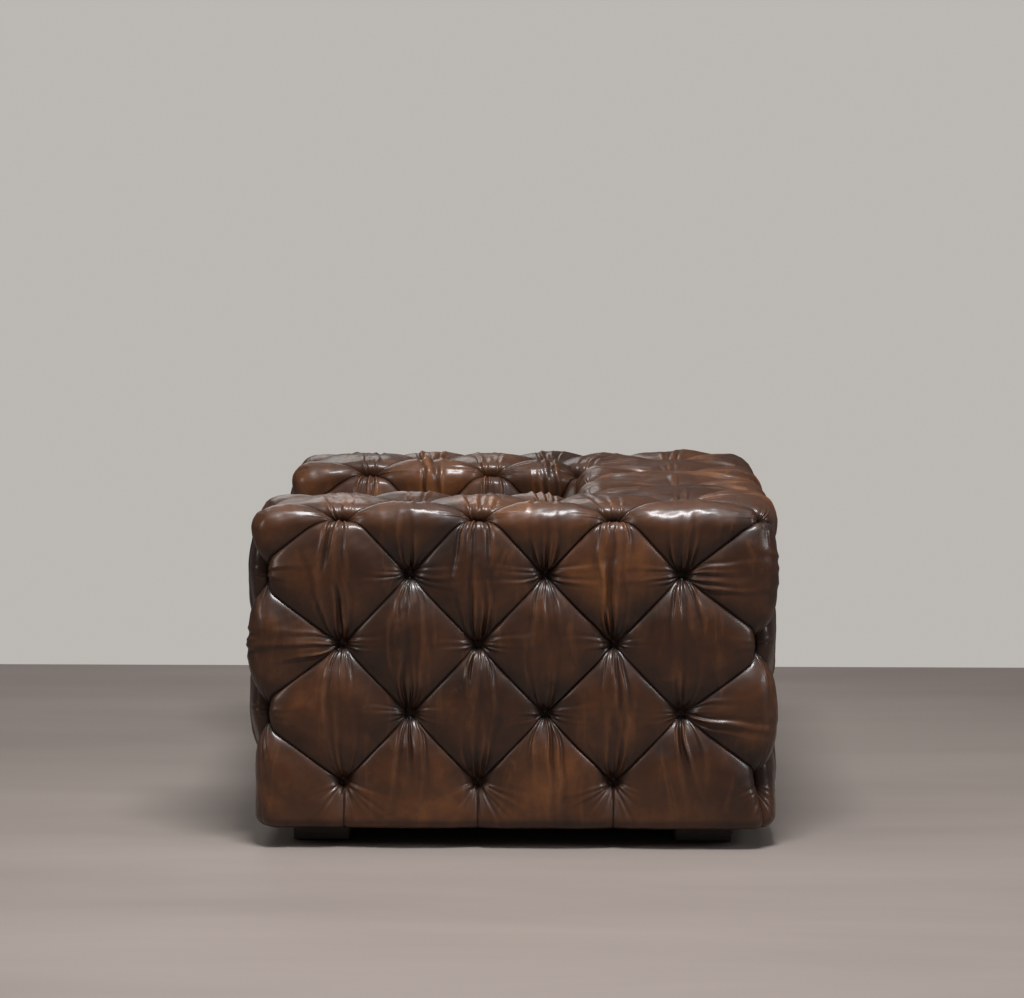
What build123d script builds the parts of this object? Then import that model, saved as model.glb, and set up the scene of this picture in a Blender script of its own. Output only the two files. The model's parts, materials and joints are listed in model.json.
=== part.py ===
from build123d import *

import os

# A low club chair: a box-shaped seat whose two arms and back stand at one height, upholstered in
# leather that is deep-buttoned in diamonds, on four block feet. Inside are a panel frame on a rail
# base, a sprung seat deck, foam, and a tie behind each button. The seat cushion is loose and lifts out.
#
# Millimetres. +Z is up, the chair faces -Y and its left side is +X. The origin is on the floor under
# the middle.

os.makedirs("parts", exist_ok=True)

# ---- driving dimensions --------------------------------------------------------------------------
WIDTH = 1143.0
DEPTH = 1040.0
HEIGHT = 686.0
ARM_WIDTH = 262.0
BACK_THICKNESS = 390.0
BODY_Z = 40.0  # underside of the frame and of the leather
DECK_Z = 250.0  # top of the sprung deck, on which the loose cushion lies
CUSHION_HEIGHT = 168.0

# upholstery
OUTER_PAD = 72.0  # foam and leather outside the frame
INNER_PAD = 62.0  # the same on the faces that the sitter touches
TOP_PAD = 66.0
LEATHER = 2.0
EDGE_RADIUS = 52.0  # rounding of the upholstered edges
CORNER_RADIUS = 60.0  # rounding of the outer upright corners
WELL_RADIUS = 54.0  # rounding of the arms' inner front corners
INNER_CORNER_RADIUS = 6.0  # hollow corner between an arm and the back
CUSHION_GAP = 5.0  # between the loose cushion and the arms and back

# buttoning
ROW_STEP = 137.5
LOWEST_ROW_Z = 130.0
COLUMN_STEP = 133.6  # along the arms
BUTTON_RADIUS = 9.0
BUTTON_HEIGHT = 7.0
POCKET_RADIUS = 13.0
FACE_SINK = 45.0  # from the leather's crest to a button's back
EDGE_SINK = 58.0  # the same on an edge, along each of the two axes
HOLLOW_SINK = 54.0  # the same in the two hollow corners, where the back meets the arms
TWINE_RADIUS = 1.2

# timber and metal
RAIL = 32.0
BASE_RAIL_HEIGHT = 60.0
PANEL = 12.0
BOARD = 18.0
FOOT_SIDE = 113.0
FOOT_INSET_X = 75.0  # from the arm's outer face
FOOT_Y = 380.0
GLIDE_THICKNESS = 3.0
GLIDE_RADIUS = 40.0
BOLT_RADIUS = 4.0
SPRING_WIRE_RADIUS = 2.0
SPRING_COUNT = 5
SPRING_LOOPS = 25

# ---- places worked out from them -----------------------------------------------------------------
half_x = WIDTH / 2
half_y = DEPTH / 2
well_x = half_x - ARM_WIDTH  # half the width between the arms
well_y = half_y - BACK_THICKNESS  # front of the back

frame_x = half_x - OUTER_PAD
frame_front = -half_y + OUTER_PAD
frame_rear = half_y - OUTER_PAD
frame_top = HEIGHT - TOP_PAD
inner_x = well_x + INNER_PAD  # sitter's side of the arm frame
inner_y = well_y + INNER_PAD  # sitter's side of the back frame
rail_top = BODY_Z + BASE_RAIL_HEIGHT
panel_top = frame_top - BOARD

foot_x = half_x - FOOT_INSET_X - FOOT_SIDE / 2
foot_spots = [(sx * foot_x, sy * FOOT_Y) for sx in (1, -1) for sy in (1, -1)]

seat_rail_top = DECK_Z - 22
wire_z = seat_rail_top + SPRING_WIRE_RADIUS


STANDING = (Align.CENTER, Align.CENTER, Align.MIN)  # a cylinder that rises from its plane
HANGING = (Align.CENTER, Align.CENTER, Align.MAX)  # a cylinder that reaches back from its plane


def save(piece, name):
    """Labels a finished piece and writes it as its own STEP."""
    piece.part.label = name
    export_step(piece.part, f"parts/{name}.step")


def block(x, y, z, mode=Mode.ADD):
    """A box between two ends on each axis, in the part being built."""
    middle = [(low + high) / 2 for low, high in (x, y, z)]
    sides = [abs(high - low) for low, high in (x, y, z)]
    with Locations(Location(middle)):
        Box(*sides, mode=mode)


def board(name, x, y, z):
    """One plain board, written out."""
    with BuildPart() as piece:
        block(x, y, z)
    save(piece, name)


# ---- the button lattice --------------------------------------------------------------------------
# Buttons stand where the column's number and the row's number have the right parity, so that neighbours make
# diamonds. Row 0 runs along the top edges. A tuft is (place on the sharp-cornered outline, outward
# axes as signs).
row_z = [HEIGHT] + [LOWEST_ROW_Z + ROW_STEP * (4 - row) for row in (1, 2, 3, 4)]
side_columns = [-half_y] + [COLUMN_STEP * (n - 2.5) for n in range(6)] + [half_y]
rear_step = (half_x - EDGE_SINK) / 4
rear_columns = [-half_x] + [rear_step * n for n in range(-3, 4)] + [half_x]
front_columns = [half_x, half_x - ARM_WIDTH / 2, well_x]
back_step = (well_x + EDGE_SINK) / 2
back_columns = [-well_x, -back_step, 0, back_step, well_x]


def left_tufts():
    """The left arm's buttons: outer face with the front corner, front, inner face and top."""
    tufts = []
    for n, y in enumerate(side_columns[:6]):
        for row, z in enumerate(row_z):
            if (n + row) % 2:
                tufts.append(((half_x, y, z), (1, -1 if n == 0 else 0, 1 if row == 0 else 0)))
    for j, x in enumerate(front_columns[1:], start=1):
        for row, z in enumerate(row_z):
            if (j + row) % 2:
                tufts.append(((x, -half_y, z), (-1 if j == 2 else 0, -1, 1 if row == 0 else 0)))
    for n, y in enumerate(side_columns[1:5], start=1):
        for row, z in enumerate(row_z[:3]):
            if (n + row) % 2:
                tufts.append(((well_x, y, z), (-1, 0, 1 if row == 0 else 0)))
    tufts += [((front_columns[1], side_columns[n], HEIGHT), (0, 0, 1)) for n in (2, 4)]
    return tufts


def back_tufts():
    """The back's buttons: its two rear corners, its rear, its front and its top."""
    tufts = []
    for n, x in enumerate(rear_columns):
        corner = {0: -1, len(rear_columns) - 1: 1}.get(n, 0)
        for row, z in enumerate(row_z):
            if (n + row) % 2 == 0:
                tufts.append(((x, half_y, z), (corner, 1, 1 if row == 0 else 0)))
    for side in (1, -1):
        for row in (1, 3):
            tufts.append(((side * half_x, side_columns[6], row_z[row]), (side, 0, 0)))
    for n, x in enumerate(back_columns):
        corner = {0: 1, len(back_columns) - 1: -1}.get(n, 0)
        for row, z in enumerate(row_z[:3]):
            if (n + row) % 2 == 0:
                tufts.append(((x, well_y, z), (corner, -1, 1 if row == 0 else 0)))
    tufts += [((n * COLUMN_STEP, side_columns[6], HEIGHT), (0, 0, 1)) for n in (-3, -1, 1, 3)]
    return tufts


def apron_tufts():
    """Three buttons on the panel below the cushion's front."""
    return [((x, -half_y, LOWEST_ROW_Z), (0, -1, 0)) for x in (-well_x * 2 / 3, 0, well_x * 2 / 3)]


def cushion_tufts(top):
    """Six buttons on the loose cushion's top, in the same diamonds."""
    spots = [(0, 2), (0, 4), (-1, 1), (1, 1), (-1, 3), (1, 3)]
    step_y = (well_y + half_y) / 5
    return [((i * well_x / 2, -half_y + n * step_y, top), (0, 0, 1)) for i, n in spots]


def seats(tufts):
    """Planes at the buttons' backs, each facing out of its pocket."""
    planes = []
    for place, outward in tufts:
        sink = FACE_SINK if sum(map(abs, outward)) == 1 else EDGE_SINK
        if outward[0] and place[1] == well_y:
            sink = HOLLOW_SINK
        origin = Vector(*place) - Vector(*outward) * sink
        planes.append(Plane(origin=origin, z_dir=Vector(*outward)))
    return planes


def mirrored(tufts):
    """The same tufts on the chair's other side."""
    return [((-p[0], p[1], p[2]), (-d[0], d[1], d[2])) for p, d in tufts]


def cut_pockets(tufts):
    """Cuts a round pocket over every button, out through the leather, and a hole for its twine."""
    with Locations(*seats(tufts)):
        Cylinder(POCKET_RADIUS, EDGE_SINK * 2, align=STANDING, mode=Mode.SUBTRACT)
    with Locations(*seats(on_faces(tufts))):
        Cylinder(TWINE_RADIUS, OUTER_PAD, align=HANGING, mode=Mode.SUBTRACT)


def save_buttons(tufts, name):
    """A domed button with its shank on every tuft, as one node of separate solids."""
    with BuildPart() as button:
        Cylinder(BUTTON_RADIUS, BUTTON_HEIGHT, align=STANDING)
        fillet(button.edges().group_by(Axis.Z)[-1], BUTTON_HEIGHT * 0.7)
    with BuildPart() as buttons:
        with Locations(*seats(tufts)):
            add(button.part)
    save(buttons, name)


def on_faces(tufts):
    """The tufts that stand on a flat face, not on an edge."""
    return [tuft for tuft in tufts if sum(map(abs, tuft[1])) == 1]


def pad_behind(place, outward):
    """Thickness of the upholstery, leather to frame, where a tuft on a flat face stands."""
    if outward[2]:
        return TOP_PAD
    return OUTER_PAD if max(abs(place[0]) / half_x, abs(place[1]) / half_y) == 1 else INNER_PAD


def save_ties(tufts, name):
    """The twine behind each button on a flat face, from the button's back to the frame's panel."""
    with BuildPart() as ties:
        for tuft in on_faces(tufts):
            with Locations(*seats([tuft])):
                Cylinder(TWINE_RADIUS, pad_behind(*tuft) - FACE_SINK, align=HANGING)
    save(ties, name)


# ---- arms and back: leather, foam and frame ------------------------------------------------------
def shell_outline(inset):
    """The U of arms and back in plan, taken in by inset, with rounded upright corners."""
    ends = [
        (-half_x + inset, -half_y + inset),
        (-half_x + inset, half_y - inset),
        (half_x - inset, half_y - inset),
        (half_x - inset, -half_y + inset),
        (well_x + inset, -half_y + inset),
        (well_x + inset, well_y + inset),
        (-well_x - inset, well_y + inset),
        (-well_x - inset, -half_y + inset),
    ]
    with BuildSketch(Plane.XY.offset(BODY_Z)) as outline:
        with BuildLine():
            Polyline(*ends, close=True)
        make_face()
        hollow = outline.vertices().filter_by(lambda v: abs(v.X) < inner_x and v.Y > 0)
        fillet(hollow, INNER_CORNER_RADIUS + inset)
        cheeks = outline.vertices().filter_by(lambda v: abs(v.X) < inner_x and v.Y < 0)
        fillet(cheeks, WELL_RADIUS - inset)
        outer = outline.vertices().filter_by(lambda v: abs(v.X) > half_x - LEATHER - 1)
        fillet(outer, CORNER_RADIUS - inset)
    return outline.sketch


def shell_body(inset):
    """The U raised to the arms' height, its whole top edge rounded."""
    with BuildPart() as body:
        add(shell_outline(inset))
        extrude(amount=HEIGHT - inset - BODY_Z)
        fillet(body.faces().sort_by(Axis.Z)[-1].edges(), EDGE_RADIUS - inset)
    return body.part


def frame_space():
    """Takes the frame's room, and the seat box below the deck, out of the part being built."""
    low = BODY_Z - 1
    for side in (1, -1):
        block((side * inner_x, side * frame_x), (frame_front, frame_rear), (low, frame_top), Mode.SUBTRACT)
    block((-frame_x, frame_x), (inner_y, frame_rear), (low, frame_top), Mode.SUBTRACT)
    block((-inner_x, inner_x), (frame_front, inner_y), (low, DECK_Z), Mode.SUBTRACT)


left_side = left_tufts()
right_side = mirrored(left_side)
shell_tufts = left_side + right_side + back_tufts()
foam_shape = shell_body(LEATHER)
with BuildPart() as shell_foam:
    add(foam_shape)
    frame_space()
    cut_pockets(shell_tufts)
with BuildPart() as shell_cover:
    add(shell_body(0))
    add(foam_shape, mode=Mode.SUBTRACT)
    block((-inner_x, inner_x), (frame_front, inner_y), (0, DECK_Z), Mode.SUBTRACT)
    cut_pockets(shell_tufts)

arm_end = well_y  # where an arm's upholstery meets the back's
for prefix, side in (("arm_left", 1), ("arm_right", -1), ("back", 0)):
    for layer, whole in (("foam", shell_foam), ("cover", shell_cover)):
        with BuildPart() as share:
            add(whole.part)
            if side:
                block((-half_x, half_x), (arm_end, half_y), (0, HEIGHT), Mode.SUBTRACT)
                block((-side * half_x, 0), (-half_y, half_y), (0, HEIGHT), Mode.SUBTRACT)
            else:
                block((-half_x, half_x), (-half_y, arm_end), (0, HEIGHT), Mode.SUBTRACT)
        save(share, f"{prefix}_{layer}")

upright = (rail_top, panel_top)
for side, which in ((1, "left"), (-1, "right")):
    outside = (side * (frame_x - PANEL), side * frame_x)
    inside = (side * inner_x, side * (inner_x + PANEL))
    hollow = (inside[1], outside[0])
    board(f"arm_{which}_outer_panel", outside, (frame_front, frame_rear), upright)
    board(f"arm_{which}_inner_panel", inside, (frame_front + BOARD, inner_y), upright)
    board(f"arm_{which}_front_board", (inside[0], outside[0]), (frame_front, frame_front + BOARD), upright)
    board(f"arm_{which}_top_board", (inside[0], outside[1]), (frame_front, inner_y), (panel_top, frame_top))
    with BuildPart() as ribs:
        for y in (-DEPTH / 4, 0):
            block(hollow, (y, y + BOARD), upright)
        middle = (sum(hollow) / 2, 0, sum(upright) / 2)
        with Locations(Location(middle, (90, 0, 0))):
            Cylinder(BOARD * 2, DEPTH, mode=Mode.SUBTRACT)
    save(ribs, f"arm_{which}_ribs")
    arm_tufts = left_side if side == 1 else right_side
    save_buttons(arm_tufts, f"arm_{which}_buttons")
    save_ties(arm_tufts, f"arm_{which}_ties")

back_span = (-frame_x + PANEL, frame_x - PANEL)
board("back_outer_panel", back_span, (frame_rear - PANEL, frame_rear), (rail_top, panel_top))
board("back_inner_panel", back_span, (inner_y, inner_y + PANEL), (rail_top, panel_top))
board("back_top_board", (-frame_x, frame_x), (inner_y, frame_rear), (panel_top, frame_top))
with BuildPart() as back_ribs:
    for x in (-inner_x, 0, inner_x):
        block((x - BOARD / 2, x + BOARD / 2), (inner_y + PANEL, frame_rear - PANEL), upright)
    rib_middle = (0, (inner_y + frame_rear) / 2, sum(upright) / 2)
    with Locations(Location(rib_middle, (0, 90, 0))):
        Cylinder(BOARD * 4, WIDTH, mode=Mode.SUBTRACT)
save(back_ribs, "back_ribs")
save_buttons(back_tufts(), "back_buttons")
save_ties(back_tufts(), "back_ties")

# ---- rail base, feet and their fittings ----------------------------------------------------------
base_span = (BODY_Z, rail_top)
for side, which in ((1, "left"), (-1, "right")):
    board(
        f"base_rail_{which}",
        (side * (frame_x - RAIL), side * frame_x),
        (frame_front, frame_rear),
        base_span,
    )
across = (-frame_x + RAIL, frame_x - RAIL)
board("base_rail_front", across, (frame_front, frame_front + RAIL), base_span)
board("base_rail_rear", across, (frame_rear - RAIL, frame_rear), base_span)
with BuildPart() as base_cross_rails:
    for side in (1, -1):
        block((side * inner_x, side * (inner_x + RAIL)), (frame_front + RAIL, frame_rear - RAIL), base_span)
save(base_cross_rails, "base_cross_rails")

BLOCK_HEIGHT = 30.0
BOLT_DROP = 22.0  # how far the bolt reaches down into the foot
NUT_RADIUS = 9.0
NUT_THICKNESS = 2.0
with BuildPart() as foot_blocks:
    for x, y in foot_spots:
        side_x = 1 if x > 0 else -1
        side_y = 1 if y > 0 else -1
        reach_x = (side_x * (inner_x + RAIL), side_x * (frame_x - RAIL))
        reach_y = (side_y * (frame_rear - RAIL), side_y * (FOOT_Y - FOOT_SIDE / 2))
        block(reach_x, reach_y, (BODY_Z, BODY_Z + BLOCK_HEIGHT))
    with Locations(*[(x, y, BODY_Z) for x, y in foot_spots]):
        Cylinder(BOLT_RADIUS, DEPTH, mode=Mode.SUBTRACT)
save(foot_blocks, "foot_blocks")

for (x, y), name in zip(foot_spots, ("rear_left", "front_left", "rear_right", "front_right")):
    with BuildPart() as foot:
        block(
            (x - FOOT_SIDE / 2, x + FOOT_SIDE / 2),
            (y - FOOT_SIDE / 2, y + FOOT_SIDE / 2),
            (GLIDE_THICKNESS, BODY_Z),
        )
        chamfer(foot.edges().filter_by(Axis.Z), 3)
        chamfer(foot.faces().sort_by(Axis.Z)[0].edges(), 2)
        with Locations((x, y, BODY_Z)):
            Cylinder(BOLT_RADIUS, BOLT_DROP * 2, mode=Mode.SUBTRACT)
    save(foot, f"foot_{name}")

with BuildPart() as foot_bolts:
    with Locations(*[(x, y, BODY_Z - BOLT_DROP) for x, y in foot_spots]):
        Cylinder(
            BOLT_RADIUS,
            BOLT_DROP + BLOCK_HEIGHT + NUT_THICKNESS,
            align=STANDING,
        )
save(foot_bolts, "foot_bolts")

with BuildPart() as tee_nuts:
    with Locations(*[(x, y, BODY_Z + BLOCK_HEIGHT) for x, y in foot_spots]):
        Cylinder(NUT_RADIUS, NUT_THICKNESS, align=STANDING)
        Cylinder(
            BOLT_RADIUS,
            NUT_THICKNESS,
            align=STANDING,
            mode=Mode.SUBTRACT,
        )
save(tee_nuts, "tee_nuts")

with BuildPart() as foot_glides:
    with Locations(*[(x, y, 0) for x, y in foot_spots]):
        Cylinder(GLIDE_RADIUS, GLIDE_THICKNESS, align=STANDING)
save(foot_glides, "foot_glides")

DUST_CLOTH = 1.0
with BuildPart() as dust_cover:
    block((-frame_x, frame_x), (frame_front, frame_rear), (BODY_Z - DUST_CLOTH, BODY_Z))
    for x, y in foot_spots:
        reach = FOOT_SIDE / 2 + 1
        block((x - reach, x + reach), (y - reach, y + reach), (0, BODY_Z), Mode.SUBTRACT)
save(dust_cover, "dust_cover")

# ---- seat frame, springs and deck ----------------------------------------------------------------
seat_span = (-inner_x, inner_x)
front_rail_back = frame_front + RAIL
rear_rail_front = inner_y - RAIL
board("seat_rail_front", seat_span, (frame_front, front_rail_back), (rail_top, seat_rail_top))
board("seat_rail_rear", seat_span, (rear_rail_front, inner_y), (rail_top, seat_rail_top))
with BuildPart() as seat_rail_sides:
    for side in (1, -1):
        block(
            (side * (inner_x - RAIL), side * inner_x),
            (front_rail_back, rear_rail_front),
            (seat_rail_top - BASE_RAIL_HEIGHT, seat_rail_top),
        )
save(seat_rail_sides, "seat_rail_sides")

spring_y0 = frame_front + RAIL / 2
spring_y1 = inner_y - RAIL / 2
loop_pitch = (spring_y1 - spring_y0) / SPRING_LOOPS
loop_radius = loop_pitch / 2
bar = 18.0  # half the straight part of each loop
spring_step = 2 * (inner_x - RAIL) / SPRING_COUNT
spring_xs = [(n - (SPRING_COUNT - 1) / 2) * spring_step for n in range(SPRING_COUNT)]

with BuildPart() as spring:
    with BuildLine(Plane.XY.offset(wire_z)) as zigzag:
        for n in range(SPRING_LOOPS + 1):
            y = spring_y0 + n * loop_pitch
            turn = 1 if n % 2 == 0 else -1
            Line((-turn * bar, y), (turn * bar, y))
            if n < SPRING_LOOPS:
                ThreePointArc(
                    (turn * bar, y),
                    (turn * (bar + loop_radius), y + loop_radius),
                    (turn * bar, y + loop_pitch),
                )
    with BuildSketch(Plane(origin=(-bar, spring_y0, wire_z), z_dir=(1, 0, 0))):
        Circle(SPRING_WIRE_RADIUS)
    sweep(path=zigzag.wires()[0])

with BuildPart() as seat_springs:
    with Locations(*[(x, 0, 0) for x in spring_xs]):
        add(spring.part)
save(seat_springs, "seat_springs")

CLIP_WIDTH = 12.0
CLIP_LENGTH = 22.0
CLIP_SHEET = 1.2
clip_top = wire_z + SPRING_WIRE_RADIUS + CLIP_SHEET
with BuildPart() as spring_clips:
    for x in spring_xs:
        for y in (spring_y0, spring_y1):
            block(
                (x - CLIP_WIDTH / 2, x + CLIP_WIDTH / 2),
                (y - CLIP_LENGTH / 4, y + CLIP_LENGTH / 4),
                (seat_rail_top, clip_top),
            )
            block(
                (x - CLIP_WIDTH, x + CLIP_WIDTH),
                (y - SPRING_WIRE_RADIUS - 0.2, y + SPRING_WIRE_RADIUS + 0.2),
                (seat_rail_top, wire_z + SPRING_WIRE_RADIUS + 0.2),
                Mode.SUBTRACT,
            )
save(spring_clips, "spring_clips")

TIE_WIRE_RADIUS = 1.3
with BuildPart() as spring_cross_wires:
    for share in (0.36, 0.68):
        y = spring_y0 + share * (spring_y1 - spring_y0)
        with Locations(Location((0, y, clip_top + TIE_WIRE_RADIUS + 0.2), (0, 90, 0))):
            Cylinder(TIE_WIRE_RADIUS, 2 * spring_xs[-1] + 3 * bar)
save(spring_cross_wires, "spring_cross_wires")

deck_bottom = clip_top + 2 * TIE_WIRE_RADIUS + 0.6
DECK_CLOTH = 1.5
board("deck_cloth", seat_span, (frame_front, inner_y), (deck_bottom, deck_bottom + DECK_CLOTH))
board("deck_pad", seat_span, (frame_front, inner_y), (deck_bottom + DECK_CLOTH, DECK_Z))

# ---- apron below the cushion's front -------------------------------------------------------------
APRON_EDGE_RADIUS = 14.0


def apron_block(inset):
    """The apron's outline, taken in by inset at the front and top."""
    with BuildPart() as shape:
        block((-well_x, well_x), (-half_y + inset, frame_front), (BODY_Z, DECK_Z - inset))
        front_top = shape.edges().filter_by(Axis.X).group_by(Axis.Z)[-1].sort_by(Axis.Y)[0]
        fillet(front_top, APRON_EDGE_RADIUS - inset)
    return shape.part


with BuildPart() as apron_foam:
    add(apron_block(LEATHER))
    cut_pockets(apron_tufts())
save(apron_foam, "apron_foam")
with BuildPart() as apron_cover:
    add(apron_block(0))
    add(apron_block(LEATHER), mode=Mode.SUBTRACT)
    cut_pockets(apron_tufts())
save(apron_cover, "apron_cover")
save_buttons(apron_tufts(), "apron_buttons")

# ---- loose seat cushion --------------------------------------------------------------------------
CUSHION_EDGE_RADIUS = 30.0
CUSHION_CORNER_RADIUS = 28.0
WRAP = 14.0  # soft wadding round the foam core
WELT_RADIUS = 4.0
cushion_bottom = DECK_Z + 0.5
cushion_top = cushion_bottom + CUSHION_HEIGHT
cushion_x = well_x - CUSHION_GAP
cushion_rear = well_y - CUSHION_GAP
cushion_middle_y = (cushion_rear - half_y) / 2


def cushion_block(inset):
    """The cushion's outline, taken in by inset on every side."""
    with BuildPart() as shape:
        with BuildSketch(Plane.XY.offset(cushion_bottom + inset)):
            with Locations((0, cushion_middle_y)):
                RectangleRounded(
                    2 * (cushion_x - inset), cushion_rear + half_y - 2 * inset, CUSHION_CORNER_RADIUS - inset
                )
        extrude(amount=CUSHION_HEIGHT - 2 * inset)
        caps = shape.faces().sort_by(Axis.Z)
        fillet(caps[-1].edges() + caps[0].edges(), CUSHION_EDGE_RADIUS - 4 - inset)
    return shape.part


seat_tufts = cushion_tufts(cushion_top)
with BuildPart() as cushion_foam_core:
    add(cushion_block(WRAP))
    cut_pockets(seat_tufts)
save(cushion_foam_core, "cushion_foam_core")
with BuildPart() as cushion_wadding:
    add(cushion_block(LEATHER))
    add(cushion_block(WRAP), mode=Mode.SUBTRACT)
    cut_pockets(seat_tufts)
save(cushion_wadding, "cushion_wadding")
with BuildPart() as cushion_cover:
    add(cushion_block(0))
    add(cushion_block(LEATHER), mode=Mode.SUBTRACT)
    cut_pockets(seat_tufts)
save(cushion_cover, "cushion_cover")
save_buttons(seat_tufts, "cushion_buttons")
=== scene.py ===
import json
import math

import bmesh
import bpy
import numpy as np
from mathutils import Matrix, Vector


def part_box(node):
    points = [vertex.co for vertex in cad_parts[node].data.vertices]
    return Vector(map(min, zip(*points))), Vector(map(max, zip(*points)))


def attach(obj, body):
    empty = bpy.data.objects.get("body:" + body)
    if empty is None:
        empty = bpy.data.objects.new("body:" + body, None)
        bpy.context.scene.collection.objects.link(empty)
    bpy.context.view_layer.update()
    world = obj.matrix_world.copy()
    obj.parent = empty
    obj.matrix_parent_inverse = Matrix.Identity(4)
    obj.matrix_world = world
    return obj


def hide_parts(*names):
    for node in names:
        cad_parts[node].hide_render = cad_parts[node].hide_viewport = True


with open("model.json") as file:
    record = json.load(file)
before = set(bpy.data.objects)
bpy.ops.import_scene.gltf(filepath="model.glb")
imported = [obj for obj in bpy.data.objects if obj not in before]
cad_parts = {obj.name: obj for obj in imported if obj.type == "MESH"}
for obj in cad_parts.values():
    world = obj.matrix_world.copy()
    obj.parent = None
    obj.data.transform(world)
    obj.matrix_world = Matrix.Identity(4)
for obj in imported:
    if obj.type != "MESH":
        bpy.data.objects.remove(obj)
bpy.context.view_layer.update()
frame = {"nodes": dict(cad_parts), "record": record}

# ---- sizes, in metres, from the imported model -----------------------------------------
arm_lo, arm_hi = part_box("arm_left_cover")
back_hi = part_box("back_cover")[1]
cushion_lo, cushion_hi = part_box("cushion_cover")
HX, HY = back_hi.x, back_hi.y  # outer faces
WX, WY = arm_lo.x, arm_hi.y  # the well between the arms and in front of the back
TOP, LOW = arm_hi.z, arm_lo.z
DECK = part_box("deck_pad")[1].z
EDGE = 0.052  # rounding of the upholstered edges
HEM = 0.024  # rounding where the leather turns under
TUCK = 0.015  # how far the front leans in at its foot
SINK = 0.058  # how far a tuft on an edge is drawn in along each axis
LEAN_FROM, LEAN_TO = 0.27, 0.12  # heights between which that lean comes in
LEAN_REACH = 0.25  # how far back from the front it is felt
COLUMN = 0.1336  # from one column of tufts to the next, along the side
ROW = 0.1375  # from one row of tufts to the next
LOWEST_ROW = 0.130
ROW_Z = [TOP] + [LOWEST_ROW + ROW * n for n in (3, 2, 1, 0)]
WALL_FOOT = DECK - 0.008  # where the leather of the inner walls ends, behind the cushion
UNDER = LOW - 0.03  # leather drawn below LOW lies flat under the chair
BELOW = -2  # the foot of a core that has no underside
FAR = 9.0  # further away than anything on the chair
ON = 1e-4  # a place this near to a face lies on it

# relief of the buttoned leather, in metres
FACE_TUFT = 0.0432  # depth of a tuft on a face
EDGE_TUFT = 0.0595  # depth of a tuft on an edge
DISH = 0.0100  # the wide hollow that each tuft draws round itself
DISH_REACH = 0.046
# a tuft's funnel: how wide it is, how far it spreads off the pleats, how sharply it falls
FUNNEL_FACE = (0.0155, 0.015, 1.05)
FUNNEL_TOP = (0.020, 0.018, 1.1)
FUNNEL_UPRIGHT = (0.042, 0.034, 1.4)
BUTTON = 0.0075  # the leather lies flat this far out under a button
NARROW = 0.0042  # depth of the pleat's own slit
BROAD = 0.0150  # the slower fall of the leather towards a pleat
BROAD_REACH = 0.031
LIP_OVER, LIP_UNDER = 0.0011, 0.0030  # a pleat is sharp on the side that laps over the other
OVERLAP = np.array([0.05, -0.3, 1.0])  # the lapping cell lies this way from its pleat
PUFF = 0.0055  # how far the crests stand in front of the plain cover
STEPS = 84  # mesh steps along one side of a cell
RAY = 0.0032  # height of the rays that fan out from the lowest tufts
WARP = 0.50  # how much those steps close up towards the pleats

X, Y, Z = np.eye(3)
rng = np.random.default_rng(20)


def smooth(v, low, high):
    """0 below low, 1 above high, with a soft S between."""
    k = np.clip((v - low) / (high - low), 0, 1)
    return k * k * (3 - 2 * k)


# ---- rounded base surfaces -----------------------------------------------------------
def round_cores(points, cores, radius):
    """Moves sharp-cornered places to the rounded skin round a union of box cores.

    Gives the places on the skin and its normals there.
    """
    offsets = np.stack([points - np.clip(points, low, high) for low, high in cores])
    reach = np.linalg.norm(offsets, axis=2) + 1e-9
    weight = np.exp(-(reach - reach.min(0)) / 0.005)
    weight /= weight.sum(0)
    direction = offsets / reach[..., None]
    base = (weight[..., None] * (points - offsets + radius * direction)).sum(0)
    normal = (weight[..., None] * direction).sum(0)
    return base, normal / np.linalg.norm(normal, axis=1)[:, None]


def box_core(low, high, radius):
    return np.array(low) + radius, np.array(high) - radius


SHELL = [
    box_core((WX, -HY, BELOW), (HX, HY, TOP), EDGE),
    box_core((-HX, -HY, BELOW), (-WX, HY, TOP), EDGE),
    box_core((-HX, WY, BELOW), (HX, HY, TOP), EDGE),
]
CORNER_FILL, CORNER_REACH = 0.013, 0.02  # padding in the hollow corners beside the back
NOSE_EASE, NOSE_REACH = 0.011, 0.075  # how the top front edges are eased back


def above_hem(points):
    level = points.copy()
    level[:, 2] = np.maximum(points[:, 2], LOW + HEM)
    return level


def hem(points):
    """How far the leather has turned in, run on flat underneath, and dropped."""
    turn = np.clip((LOW + HEM - points[:, 2]) / HEM, 0, 1) * math.pi / 2
    return HEM * (1 - np.cos(turn)), np.clip(LOW - points[:, 2], 0, 1), HEM * np.sin(turn)


def lean(points):
    """How far the front has moved back at this height."""
    return TUCK * smooth(-points[:, 2], -LEAN_FROM, -LEAN_TO)


def shell_skin(points):
    """The arms and back: rounded edges, a hem turned under, hollow corners filled, noses eased."""
    base, normal = round_cores(above_hem(points), SHELL, EDGE)
    turned, under, drop = hem(points)
    base -= normal * (1, 1, 0) * (turned + under)[:, None]
    base[:, 2] -= drop
    away = np.hypot(np.abs(points[:, 0]) - WX, points[:, 1] - WY)
    facing = (np.abs(points[:, 0]) < WX + 1e-5) & (points[:, 1] < WY + 1e-5)
    deep = smooth(TOP - points[:, 2], 0, 0.07)
    fill = CORNER_FILL * np.exp(-away / CORNER_REACH) * deep * facing
    nose = (points[:, 1] + HY) + (TOP - points[:, 2])
    fill -= NOSE_EASE * np.exp(-((np.maximum(nose, 0) / NOSE_REACH) ** 2))
    base += normal * fill[:, None]
    base[:, 1] += lean(points) * smooth(-points[:, 1], HY - LEAN_REACH, HY)
    return base, normal


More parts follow.
